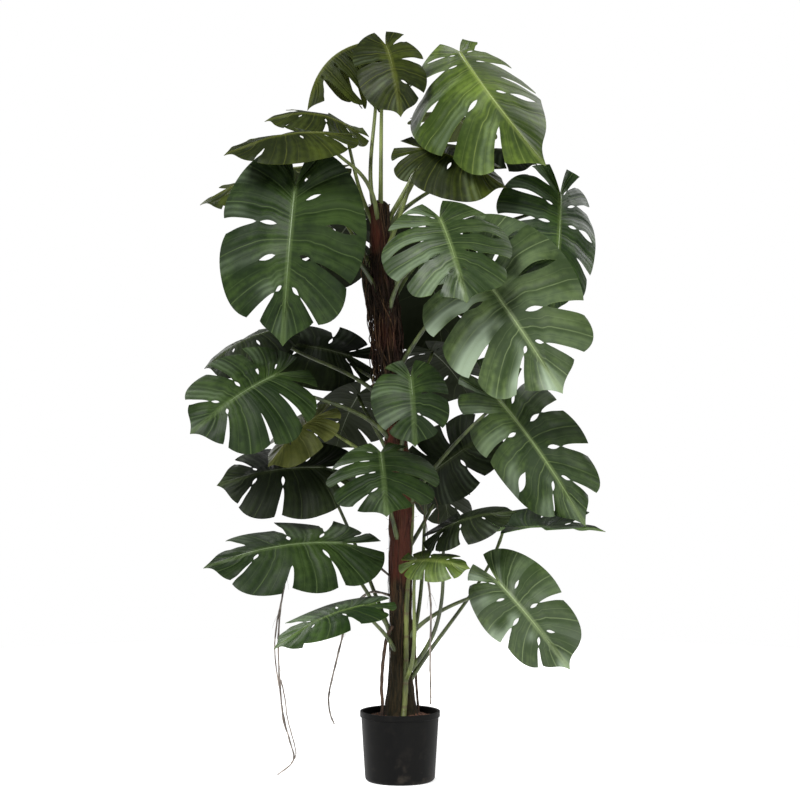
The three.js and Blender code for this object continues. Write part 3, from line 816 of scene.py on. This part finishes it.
def stalk_finish(name, tones):
    finish = Finish(name, Coat_Weight=0.1, Coat_Roughness=0.35)
    streaks = finish.noise(60.0, 4.0, finish.stretched((1.0, 1.0, 0.25)))
    flecks = finish.noise(420.0, 2.0)
    base = finish.blend(finish.fade(streaks, 0.35, 0.65), *tones)
    base = finish.blend(finish.fade(flecks, 0.62, 0.72) * 0.35, base, colour(128, 130, 84))
    finish.dress(base, 0.42 + streaks * 0.2, streaks + flecks * 0.3, 0.3, 0.0008)
    return finish


stalk_finishes = {key: stalk_finish("stalk_" + key, tones) for key, tones in STALK_TONES.items()}


def rib_finish(name, tone):
    finish = Finish(name, Coat_Weight=0.15, Coat_Roughness=0.3)
    streaks = finish.noise(90.0, 3.0)
    skin = tuple(mix(light, vein, 0.35) for light, vein in zip(tone["light"], tone["vein"]))
    finish.dress(finish.blend(streaks, skin, tone["vein"]), 0.36 + streaks * 0.15, streaks, 0.15, 0.0006)
    return finish


rib_finishes = {key: rib_finish("midrib_" + key, tone) for key, tone in TONES.items()}

# %% Building a stalk
STALK = dict(root=5.4, neck=3.4, sunk=0.35, reach=0.06, out=0.2, up=0.344, under=0.2, behind=0.06, sag=0.12)
STALK_STEPS = 30
STALK_SIDES = 12
SHEATH = dict(proud=2.6, length=0.1)
KNUCKLE = dict(proud=0.9, at=0.93, length=0.035)
# root and tip are the midrib's radii as shares of the leaf's length, and sunk is in millimetres
MIDRIB = dict(root=0.0105, tip=0.0016, start=0.018, end=0.965, steps=22, sides=8, sunk=0.5)


def bezier(a, b, c, d, t):
    s = 1 - t
    return a * s ** 3 + b * (3 * s * s * t) + c * (3 * s * t * t) + d * t ** 3


def stalk_points(leaf):
    axis = trunk_axis(leaf["joint"]) * MM
    reach = leaf["root"] - axis
    outward = Vector((reach.x, reach.y, 0)).normalized()
    length = reach.length
    start = axis + outward * (TRUNK["top"] * STALK["sunk"] * MM)
    first = start + outward * (STALK["out"] * length) + Vector(leaf["bend"]) * MM
    first.z += STALK["up"] * length
    second = leaf["root"] - leaf["normal"] * (STALK["under"] * length)
    second -= leaf["along"] * (STALK["behind"] * length)
    second.z -= STALK["sag"] * length
    end = blade_place(leaf, 0, STALK["reach"], 0) - leaf["normal"] * BLADE
    return stepped(STALK_STEPS, lambda t: bezier(start, first, second, end, t))


def stalk(leaf):
    bm = bmesh.new()

    def stalk_radius(t):
        sheath = SHEATH["proud"] * math.exp(-t / SHEATH["length"])
        knuckle = KNUCKLE["proud"] * math.exp(-(((t - KNUCKLE["at"]) / KNUCKLE["length"]) ** 2))
        return (mix(STALK["root"], STALK["neck"], t) + sheath + knuckle) * MM

    def rib_radius(t):
        return mix(MIDRIB["root"], MIDRIB["tip"], t ** 0.7) * leaf["length"]

    def rib_point(t):
        y = mix(MIDRIB["start"], MIDRIB["end"], t)
        return blade_place(leaf, 0, y, 0) - leaf["normal"] * (MIDRIB["sunk"] * MM)

    tube(bm, stalk_points(leaf), stalk_radius, STALK_SIDES)
    tube(bm, stepped(MIDRIB["steps"], rib_point), rib_radius, MIDRIB["sides"], material=1)
    skin = "light" if leaf["tone"] in ("olive", "bright", "pale") else "dark"
    finishes = [stalk_finishes[skin], rib_finishes[leaf["tone"]]]
    return piece(leaf["name"] + "_stalk", bm, finishes)


stalks = [stalk(leaf) for leaf in leaves]
print("stalks:", len(stalks), "triangles:", sum(triangles(made) for made in stalks))

# %% [markdown]
# ## The bark
# Dark brown coconut-like fibre, reddish where it is thin, with ridges that run up the trunk and rings at
# the old leaf scars. The ridges are in the mesh, so they also show on the outline.

# %% Bark
BARK_SIDES = 72
BARK_ROWS = 300
BARK_FOOT = 47  # the bark goes on this far below the potting mix's edge, in millimetres
RED_FROM = (0.46, 0.53)  # the fibre is thin and reddish between these heights
RED_TO = (0.66, 0.74)
MOSSY = (0.3, 0.5)  # below these heights the fibre is a dull green-brown
RIDGES = dict(depth=0.9, count=17, lean=0.006)
ROUGH = dict(depth=2.4, along=0.012, across=0.06, fine=3.1)
DOME = dict(rise=8, depth=16)  # the bark closes in a dome over the trunk's top


def bark_finish(name, dark, light, red):
    finish = Finish(name, Specular_IOR_Level=0.18)
    fibre = finish.noise(190.0, 6.0, finish.stretched((1.0, 1.0, 0.12)), roughness=0.7)
    patches = finish.noise(9.0, 3.0, finish.stretched((1.0, 1.0, 0.5)))
    bands = finish.noise(26.0, 2.0, finish.stretched((0.2, 0.2, 1.0)))
    base = finish.blend(finish.fade(fibre, 0.36, 0.66), dark, light)
    height = finish.height()
    bare = finish.fade(height, *RED_FROM) * finish.fade(height, *RED_TO, 1.0, 0.0)
    base = finish.blend(finish.fade(patches + bare * 0.16, 0.52, 0.68) * 0.7, base, red)
    base = finish.blend(finish.fade(bands, 0.58, 0.72) * 0.5, base, dark)
    base = finish.blend(finish.fade(height, *MOSSY, 0.45, 0.0), base, colour(26, 28, 15))
    finish.dress(base, 0.78 + fibre * 0.2 - bare * 0.25, fibre + bands * 0.4, 0.8, 0.002)
    return finish


bark = bark_finish("trunk_fibre", colour(17, 13, 8), colour(62, 48, 30), colour(84, 38, 27))


def bark_place(across, along):
    turn = 2 * math.pi * across
    low, high = POT["height"] - BARK_FOOT, TRUNK["height"] + DOME["rise"]
    z = mix(low, high, along)
    grain = RIDGES["depth"] * math.sin(RIDGES["count"] * turn + z * RIDGES["lean"] * RIDGES["count"])
    around = ROUGH["across"] * TRUNK["foot"]
    spot = Vector((math.cos(turn) * around, math.sin(turn) * around, z * ROUGH["along"]))
    rough = ROUGH["depth"] * (noise.noise(spot) + 0.5 * noise.noise(spot * ROUGH["fine"]))
    closing = clamp01((high - z) / DOME["depth"]) ** 0.5
    return (trunk_axis(z) * MM).lerp(on_trunk(z, turn, grain + rough), closing)


bm = bmesh.new()
formed_grid(bm, BARK_SIDES, BARK_ROWS, bark_place)
trunk = piece("trunk_bark", bm, [bark], "trunk")
print("bark triangles:", triangles(trunk))

# %% [markdown]
# ## Loose fibre
# Strands of fibre lie along the trunk, most of them upright and some crossing, and short ends stand off
# it. Each is a thin tube with few faces, because there are hundreds. Two finishes keep them from looking
# combed.

# %% Fibre strands
rng = random.Random(7)
noise.seed_set(7)  # unseeded, noise_vector gives other values on each run
STRANDS = dict(count=230, low=POT["height"] - 10, high=TRUNK["height"] - 60, end=TRUNK["height"] - 4,
               shortest=60, longest=260, radius=0.9, steps=12, lean=0.0035, sway=0.09, swings=5,
               skin=0.4, proud=2.2)
FRAYS = dict(count=190, low=POT["height"], high=TRUNK["height"] - 20, shortest=8, longest=26,
             radius=0.5, taper=0.7, steps=4, bend=0.6, rise=(-1.1, 0.9), sunk=1)

strand_finishes = [
    bark_finish("fibre_dark", colour(20, 16, 12), colour(52, 39, 29), colour(62, 32, 26)),
    bark_finish("fibre_tan", colour(50, 38, 27), colour(98, 77, 54), colour(80, 50, 36)),
]


def strand(bm, material):
    z = rng.uniform(STRANDS["low"], STRANDS["high"])
    length = rng.uniform(STRANDS["shortest"], STRANDS["longest"])
    turn = rng.uniform(0, 2 * math.pi)
    lean = rng.gauss(0, STRANDS["lean"])
    wobble = rng.uniform(0, 10)

    def place(share):
        height = min(z + length * share, STRANDS["end"])
        sway = STRANDS["sway"] * math.sin(wobble + share * STRANDS["swings"])
        belly = STRANDS["proud"] * math.sin(math.pi * share) * abs(math.sin(wobble * 3))
        proud = STRANDS["skin"] + belly
        return on_trunk(height, turn + lean * length * share + sway, proud)

    def radius(share):
        return STRANDS["radius"] * MM * (0.5 + math.sin(math.pi * share)) / 1.5

    tube(bm, stepped(STRANDS["steps"], place), radius, 4, material)


def fray(bm, material):
    z = rng.uniform(FRAYS["low"], FRAYS["high"])
    turn = rng.uniform(0, 2 * math.pi)
    length = rng.uniform(FRAYS["shortest"], FRAYS["longest"])
    foot = on_trunk(z, turn, -FRAYS["sunk"])
    out = Vector((math.cos(turn), math.sin(turn), rng.uniform(*FRAYS["rise"]))).normalized()
    side = Vector((-math.sin(turn), math.cos(turn), 0)) * rng.uniform(-FRAYS["bend"], FRAYS["bend"])
    points = stepped(FRAYS["steps"], lambda t: foot + (out * t + side * t * t) * length * MM)
    tube(bm, points, lambda t: FRAYS["radius"] * MM * (1 - FRAYS["taper"] * t), 3, material)


bm = bmesh.new()
for i in range(STRANDS["count"]):
    strand(bm, i % 2)
for i in range(FRAYS["count"]):
    fray(bm, i % 2)
fibre = piece("trunk_strands", bm, strand_finishes)
print("strand triangles:", triangles(fibre))

# %% [markdown]
# ## The shaggy wrap
# From the middle of the trunk up to just under the crown, the fibre has come loose and stands off in a
# thick dark wrap, fuller on the left. Its strands start and end at the trunk and belly out between, each
# with its own depth, so the outline is ragged as in the photograph.

# %% Shaggy wrap
WRAP = dict(count=420, low=870, high=1262, inside=0.8, shortest=70, longest=190, depth=17, left=9,
            radius=1.1, steps=9, sway=0.5, ripple=1.5, ripples=17, sunk=1)


def wrap_strand(bm, material):
    length = rng.uniform(WRAP["shortest"], WRAP["longest"])
    z = rng.uniform(WRAP["low"], WRAP["high"] - length * WRAP["inside"])
    turn = rng.uniform(0, 2 * math.pi)
    sway = rng.gauss(0, WRAP["sway"])
    full = (WRAP["depth"] + WRAP["left"] * max(0.0, -math.cos(turn))) * rng.random() ** 0.7

    def place(share):
        ripple = WRAP["ripple"] * math.sin(share * WRAP["ripples"] + z)
        proud = full * math.sin(math.pi * share) ** 0.6 + ripple - WRAP["sunk"]
        return on_trunk(min(z + length * share, WRAP["high"]), turn + sway * share, proud)

    def radius(share):
        return WRAP["radius"] * MM * (0.4 + math.sin(math.pi * share))

    tube(bm, stepped(WRAP["steps"], place), radius, 4, material)


bm = bmesh.new()
for i in range(WRAP["count"]):
    wrap_strand(bm, 0 if i % 5 else 1)
wrap = piece("trunk_wrap", bm, strand_finishes)
print("wrap triangles:", triangles(wrap))

# %% [markdown]
# ## Aerial roots
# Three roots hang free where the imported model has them, grey-brown and a little crooked, with a few thin
# side roots. Two more cling to the trunk and go into the potting mix, and one young green stem climbs
# along its front.

# %% Root finish
def root_finish(name, dark, light):
    finish = Finish(name)
    grain = finish.noise(260.0, 4.0, finish.stretched((1.0, 1.0, 0.3)))
    patches = finish.noise(30.0, 3.0)
    base = finish.blend(finish.fade(grain * 0.5 + patches * 0.5, 0.38, 0.62), dark, light)
    finish.dress(base, 0.72 + grain * 0.2, grain, 0.5, 0.001)
    return finish


root_skin = root_finish("root_skin", colour(78, 70, 64), colour(136, 126, 118))
root_brown = root_finish("root_brown", colour(44, 32, 24), colour(86, 64, 48))
print("root finishes:", root_skin.material.name, root_brown.material.name)

# %% Hanging roots
ROOTS = {
    "root_1": [(-12, -4, 480), (-80, 30, 530), (-150, 54, 552), (-220, 54, 548), (-262, 44, 515),
               (-278, 20, 470), (-288, 0, 400), (-292, 0, 305), (-282, 0, 158), (-266, 0, 99),
               (-256, 0, 48), (-294, 0, 12)],
    "root_2": [(-12, 0, 440), (-70, 5, 450), (-118, 0, 410), (-134, -5, 361), (-151, -10, 294),
               (-168, -10, 220), (-170, -10, 172), (-158, -10, 136)],
    "root_3": [(14, -4, 500), (50, -26, 540), (72, -36, 440), (72, -38, 300), (73, -38, 188)],
}
ROOT = dict(start=3.1, end=1.9, steps=9, knob=0.14, knobs=90, crook=1.1, crooks=60)
HAIR = dict(radius=0.55, taper=0.6, steps=4, shortest=0.35, down=-0.4, droop=-1.3)


def smooth_path(knots):
    """A smooth curve through the knots, in metres."""
    knots = [Vector(knot) for knot in knots]
    ends = [knots[0] * 2 - knots[1], *knots, knots[-1] * 2 - knots[-2]]
    points = []
    for i in range(1, len(ends) - 2):
        a, b, c, d = ends[i - 1:i + 3]
        for j in range(ROOT["steps"]):
            t = j / ROOT["steps"]
            bent = b * 2 + (c - a) * t + (a * 2 - b * 5 + c * 4 - d) * t * t
            bent += (b * 3 - a - c * 3 + d) * t ** 3
            points.append(bent * 0.5 * MM)
    points.append(knots[-1] * MM)
    return points


def crooked(points, depth, seed):
    """The points moved a little, as a root grows."""
    moved = []
    for i, point in enumerate(points):
        spot = point * ROOT["crooks"] + Vector((seed, 0, 0))
        shift = noise.noise_vector(spot) * depth * MM * min(1, i / 6)
        moved.append(point + shift)
    return moved


def side_roots(bm, points, count, longest):
    def radius(t):
        return HAIR["radius"] * MM * (1 - HAIR["taper"] * t)

    for _ in range(count):
        start = points[rng.randrange(len(points) // 3, len(points) - 2)]
        out = Vector((rng.uniform(-1, 1), rng.uniform(-0.6, 0.6), HAIR["down"])).normalized()
        length = rng.uniform(HAIR["shortest"], 1) * longest * MM
        drooping = stepped(HAIR["steps"], lambda t: out * t + Vector((0, 0, HAIR["droop"] * t * t)))
        tube(bm, [start + way * length for way in drooping], radius, 4)


def hanging_root(name, seed, hairs):
    bm = bmesh.new()
    path = crooked(smooth_path(ROOTS[name]), ROOT["crook"], seed)

    def radius(t):
        knobby = 1 + ROOT["knob"] * math.sin(t * ROOT["knobs"] + seed)
        return mix(ROOT["start"], ROOT["end"], t) * knobby * MM

    tube(bm, path, radius, 8)
    side_roots(bm, path, hairs, 26)
    return piece(name + "_skin", bm, [root_skin], name)


roots = [hanging_root(name, 3 + i, hairs) for i, (name, hairs) in enumerate(zip(ROOTS, (14, 9, 5)))]
print("root triangles:", [triangles(made) for made in roots])

# %% Clinging roots and fine strands
CLINGING = {
    "clinging_root_1": (4.6, root_brown, [
        (-18, -14, 372), (-31, -20, 345), (-40, -20, 290), (-44, -18, 230), (-42, -18, 180),
        (-44, -16, 138)]),
    "clinging_root_2": (3.4, root_brown, [
        (20, 12, 402), (33, 18, 360), (37, 22, 290), (40, 24, 220), (44, 26, 170), (46, 28, 138)]),
    "fine_root_1": (1.1, root_brown, [
        (12, -8, 662), (44, -24, 664), (60, -28, 630), (66, -28, 585), (72, -28, 540)]),
    "fine_root_2": (0.9, root_brown, [
        (14, -4, 700), (60, -20, 706), (88, -26, 668), (92, -26, 610), (94, -26, 548)]),
    "fine_root_3": (2.0, root_skin, [
        (-284, 8, 432), (-296, -6, 372), (-300, -5, 300), (-289, -3, 220), (-280, 2, 158), (-272, 0, 120)]),
    "fine_root_4": (1.7, root_skin, [
        (-286, 3, 240), (-276, -4, 196), (-270, -4, 150), (-258, -3, 104), (-250, 0, 62), (-262, 0, 40)]),
}


def clinging_root(name, radius, finish, knots):
    bm = bmesh.new()
    path = crooked(smooth_path(knots), ROOT["crook"], len(knots) + radius)
    tube(bm, path, lambda t: radius * mix(1.0, 0.8, t) * (1 + 0.08 * math.sin(t * 60)) * MM, 10)
    return piece(name, bm, [finish])


clinging = [clinging_root(name, *values) for name, values in CLINGING.items()]
print("clinging root triangles:", [triangles(made) for made in clinging])

# %% [markdown]
# ## The young stem
# A green stem as thick as a thumb climbs the front of the trunk, pressed against it, with a ring at each
# old leaf scar. It follows the trunk's own formula, so it neither floats off nor sinks in, and its two
# ends bend into the potting mix and into the fibre.

# %% Young stem
STEM = dict(low=136, high=690, foot=7, lean=22, radius=6.6, proud=2.2, rings=10, steps=90, sway=2.5,
            swings=9, tuck=16, tuck_from=0.9, tuck_length=0.1)


def stem_finish():
    finish = Finish("young_stem", Coat_Weight=0.08, Coat_Roughness=0.4)
    height = finish.height()
    streaks = finish.noise(70.0, 4.0, finish.stretched((1.0, 1.0, 0.2)))
    rings = finish.fade((height * (STEM["rings"] / (STEM["high"] - STEM["low"]) / MM)).wave(), 0.88, 0.99)
    base = finish.blend(finish.fade(streaks, 0.35, 0.65), colour(58, 66, 26), colour(98, 104, 48))
    base = finish.blend(rings * 0.6, base, colour(74, 56, 36))
    finish.dress(base, 0.5 + streaks * 0.2, streaks * 0.5 - rings, 0.6, 0.0012)
    return finish


def stem_point(share):
    z = mix(STEM["low"], STEM["high"], share)
    axis = trunk_axis(z)
    across = STEM["foot"] + STEM["lean"] * share + STEM["sway"] * math.sin(share * STEM["swings"]) - axis.x
    inside = STEM["tuck"] * smooth01((share - STEM["tuck_from"]) / STEM["tuck_length"])
    out = math.sqrt(max(trunk_radius(z, -math.pi / 2) ** 2 - across ** 2, 0)) + STEM["proud"] - inside
    return Vector((axis.x + across, axis.y - out, z)) * MM


def stem_radius(t):
    ring = math.exp(-((((t * STEM["rings"]) % 1) - 0.5) / 0.09) ** 2)
    return STEM["radius"] * mix(1.0, 0.72, t) * (1 + 0.12 * ring) * MM


bm = bmesh.new()
tube(bm, stepped(STEM["steps"], stem_point), stem_radius, 16)
stem = piece("young_stem", bm, [stem_finish()])
print("young stem triangles:", triangles(stem))

# %% [markdown]
# ## The pot
# A plain injection-moulded nursery pot: a tapered black shell with a straight band under the lip and a
# rounded foot. Its half outline is spun once round the axis. Black plastic isn't one flat black: it has a
# satin skin, faint streaks from moulding and a little dust low down.

# %% Pot profile
def pot_outline():
    rim, foot, height, wall = POT["rim"], POT["foot"], POT["height"], POT["wall"]
    lip, band, corner, edge = POT["lip"], POT["band"], POT["corner"], POT["edge"]
    inner = foot - wall

    def round_foot(share):
        turn = math.pi / 2 * share
        return foot - corner + corner * math.sin(turn), corner - corner * math.cos(turn)

    return [
        (0, 0.0),
        *stepped(6, round_foot),
        (mix(foot, rim - lip, 0.5), mix(corner, height - band, 0.5)),
        (rim - lip, height - band - 0.4),
        (rim - lip * 0.4, height - band + 0.2),
        (rim, height - band + edge),
        (rim, height - edge),
        (rim - edge * 0.4, height - edge * 0.3),
        (rim - edge, height),
        (rim - lip - wall + edge, height),
        (rim - lip - wall, height - edge),
        (inner, corner),
        (inner - corner * 0.6, wall + edge),
        (0, wall + edge),
    ]


# %% Spin the pot
POT_SIDES = 96


def spun(outline, sides):
    bm = bmesh.new()
    corners = [bm.verts.new((r * MM, 0, z * MM)) for r, z in outline]
    edges = [bm.edges.new(pair) for pair in zip(corners, corners[1:])]
    bmesh.ops.spin(bm, geom=corners + edges, cent=(0, 0, 0), axis=(0, 0, 1), angle=2 * math.pi,
                   steps=sides, use_merge=True)
    bmesh.ops.remove_doubles(bm, verts=bm.verts, dist=MERGE)
    bmesh.ops.recalc_face_normals(bm, faces=bm.faces)
    for face in bm.faces:
        face.smooth = True
    for edge in bm.edges:
        edge.smooth = edge.calc_face_angle(0) < math.radians(28)
    return bm


def pot_finish():
    finish = Finish("black_plastic", Specular_IOR_Level=0.08)
    grain = finish.noise(900.0, 2.0)
    streaks = finish.noise(14.0, 3.0, finish.stretched((1.0, 1.0, 0.15)))
    dust = finish.noise(38.0, 5.0)
    base = finish.blend(finish.fade(streaks, 0.35, 0.7), colour(8, 8, 8), colour(14, 14, 13))
    dusty = finish.fade(dust, 0.5, 0.75) * finish.fade(finish.height(), 0.0, 0.09, 0.2, 0.03)
    base = finish.blend(dusty, base, colour(92, 84, 74))
    finish.dress(base, 0.42 + streaks * 0.14 + dusty * 0.4, grain, 0.08, 0.0004)
    return finish


pot = piece("pot_shell", spun(pot_outline(), POT_SIDES), [pot_finish()], "pot")
print("pot triangles:", triangles(pot))

# %% [markdown]
# ## The potting mix
# Coarse red-brown bark and coconut fibre, heaped a little round the trunk. The plug is spun like the pot,
# and its top is roughened and covered in crumbs, chips and short fibres.

# %% Potting mix
SOIL_TOP = POT["height"] - SOIL["depth"]
CRUMBS = dict(count=620, smallest=1.6, largest=5.2, within=0.97, proud=0.6, tilt=0.6)


def soil_wall(z):
    climb = (z - POT["corner"]) / (POT["height"] - POT["edge"] - POT["corner"])
    return mix(POT["foot"] - POT["wall"], POT["rim"] - POT["lip"] - POT["wall"], climb) - SOIL["clear"]


def soil_height(r):
    """The heap's height over a radius, in millimetres."""
    return SOIL_TOP + SOIL["heap"] * smooth01((soil_wall(SOIL_TOP) - r) / (soil_wall(SOIL_TOP) * 0.5))


def soil_finish(name, dark, light):
    finish = Finish(name)
    crumb = finish.noise(170.0, 5.0, roughness=0.65)
    patches = finish.noise(24.0, 3.0)
    base = finish.blend(finish.fade(crumb, 0.38, 0.64), dark, light)
    base = finish.blend(finish.fade(patches, 0.5, 0.7) * 0.5, base, dark)
    finish.dress(base, 0.85 + crumb * 0.13, crumb, 0.9, 0.002)
    return finish


soil_finishes = [
    soil_finish("potting_mix", colour(30, 20, 15), colour(74, 46, 34)),
    soil_finish("bark_crumb", colour(48, 30, 22), colour(104, 66, 46)),
]
PLUG = dict(floor=12, rings=16, sides=64, rough=1.6, grain=90)

reach = soil_wall(SOIL_TOP)
heap = stepped(PLUG["rings"], lambda share: (reach * (1 - share), soil_height(reach * (1 - share))))
outline = [(0, PLUG["floor"]), (soil_wall(PLUG["floor"]), PLUG["floor"]), (reach, SOIL_TOP), *heap[1:]]
bm = spun(outline, PLUG["sides"])
for vertex in bm.verts:
    if vertex.co.z > (SOIL_TOP - 1) * MM:
        vertex.co.z += noise.noise(vertex.co * PLUG["grain"]) * PLUG["rough"] * MM

for _ in range(CRUMBS["count"]):
    r = reach * math.sqrt(rng.random()) * CRUMBS["within"]
    turn = rng.uniform(0, 2 * math.pi)
    size = rng.uniform(CRUMBS["smallest"], CRUMBS["largest"]) * MM
    spot = Vector((r * math.cos(turn), r * math.sin(turn), soil_height(r) + CRUMBS["proud"])) * MM
    flat = Matrix.Diagonal((1, rng.uniform(0.4, 1), rng.uniform(0.3, 0.7), 1))
    spun_round = Matrix.Rotation(rng.uniform(0, 6.3), 4, "Z")
    tilted = Matrix.Rotation(rng.uniform(-CRUMBS["tilt"], CRUMBS["tilt"]), 4, "X")
    laid = Matrix.Translation(spot) @ spun_round @ tilted @ flat
    made = bmesh.ops.create_icosphere(bm, subdivisions=1, radius=size, matrix=laid)
    for face in {face for vertex in made["verts"] for face in vertex.link_faces}:
        face.material_index = 1
soil = piece("potting_mix", bm, soil_finishes, "soil")
print("potting mix triangles:", triangles(soil))

# %% [markdown]
# ## Measuring
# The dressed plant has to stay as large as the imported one, so both boxes are written down side by side.

# %% Sizes
dressed_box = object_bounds()
sizes = {"cad": [list(corner) for corner in cad_box], "visual": [list(corner) for corner in dressed_box]}
for name in ("cad", "visual"):
    low, high = sizes[name]
    print(name, [round(h - l, 4) for l, h in zip(low, high)])
